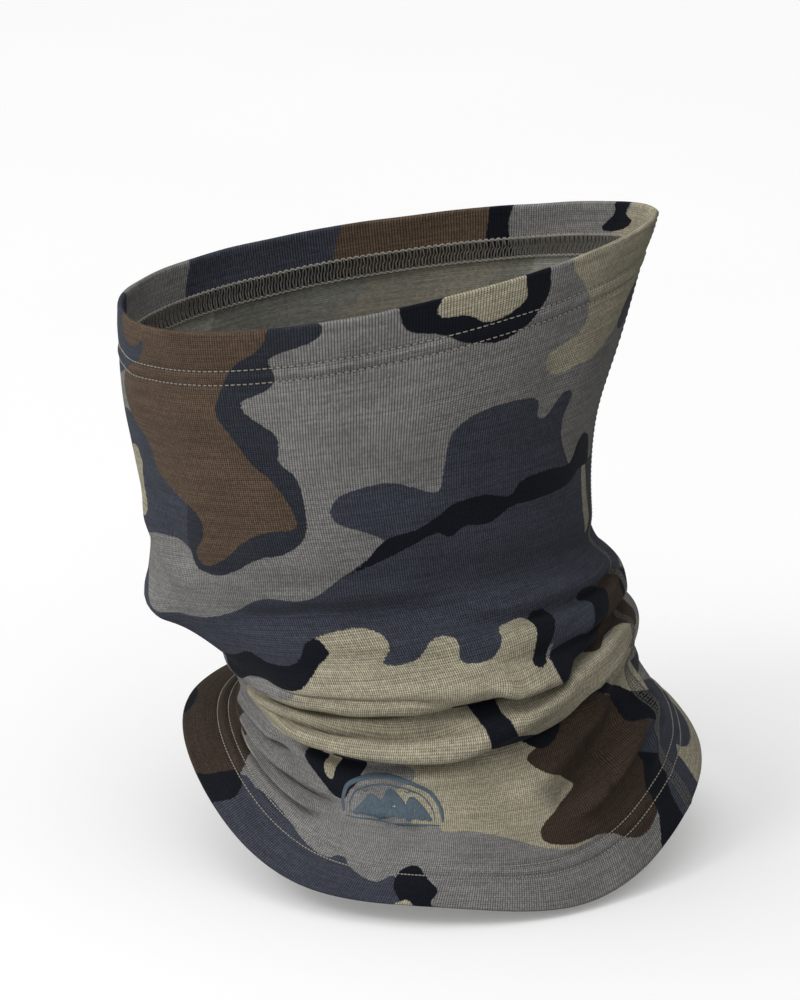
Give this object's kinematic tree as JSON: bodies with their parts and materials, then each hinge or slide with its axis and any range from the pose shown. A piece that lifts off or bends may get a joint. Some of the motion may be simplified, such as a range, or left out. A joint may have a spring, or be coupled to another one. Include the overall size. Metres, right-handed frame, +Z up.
{
  "type": "neck gaiter",
  "caption": "Knit tube scarf worn over the nose, ears and neck, with turned and stitched hems, a flat back seam and soft folds around the neck.",
  "frame": {"origin": "on the wearer's neck axis, level with the folds around the neck, inside the tube", "axes": "+Z up, -X towards the wearer's face, -Y towards the wearer's left, the back seam at +X"},
  "size_m": [0.2255, 0.2039, 0.2463],
  "materials": {
    "knit_cloth": "matt jersey knit with a camouflage print in grey, slate, navy, brown and tan, and a paler grey-olive wrong side",
    "sewing_thread": "matt twisted warm-grey polyester thread",
    "emblem_film": "thin satin slate-blue print on the knit"
  },
  "bodies": {
    "root": {"knit_panel": "knit_cloth", "upper_hem_needle_thread_1": "sewing_thread", "upper_hem_needle_thread_2": "sewing_thread", "upper_hem_looper_thread": "sewing_thread", "lower_hem_needle_thread_1": "sewing_thread", "lower_hem_needle_thread_2": "sewing_thread", "lower_hem_looper_thread": "sewing_thread", "back_seam_cover_thread": "sewing_thread", "back_seam_needle_thread_1": "sewing_thread", "back_seam_needle_thread_2": "sewing_thread", "back_seam_needle_thread_3": "sewing_thread", "back_seam_needle_thread_4": "sewing_thread", "back_seam_looper_thread": "sewing_thread", "printed_emblem": "emblem_film"}
  },
  "joints": []
}
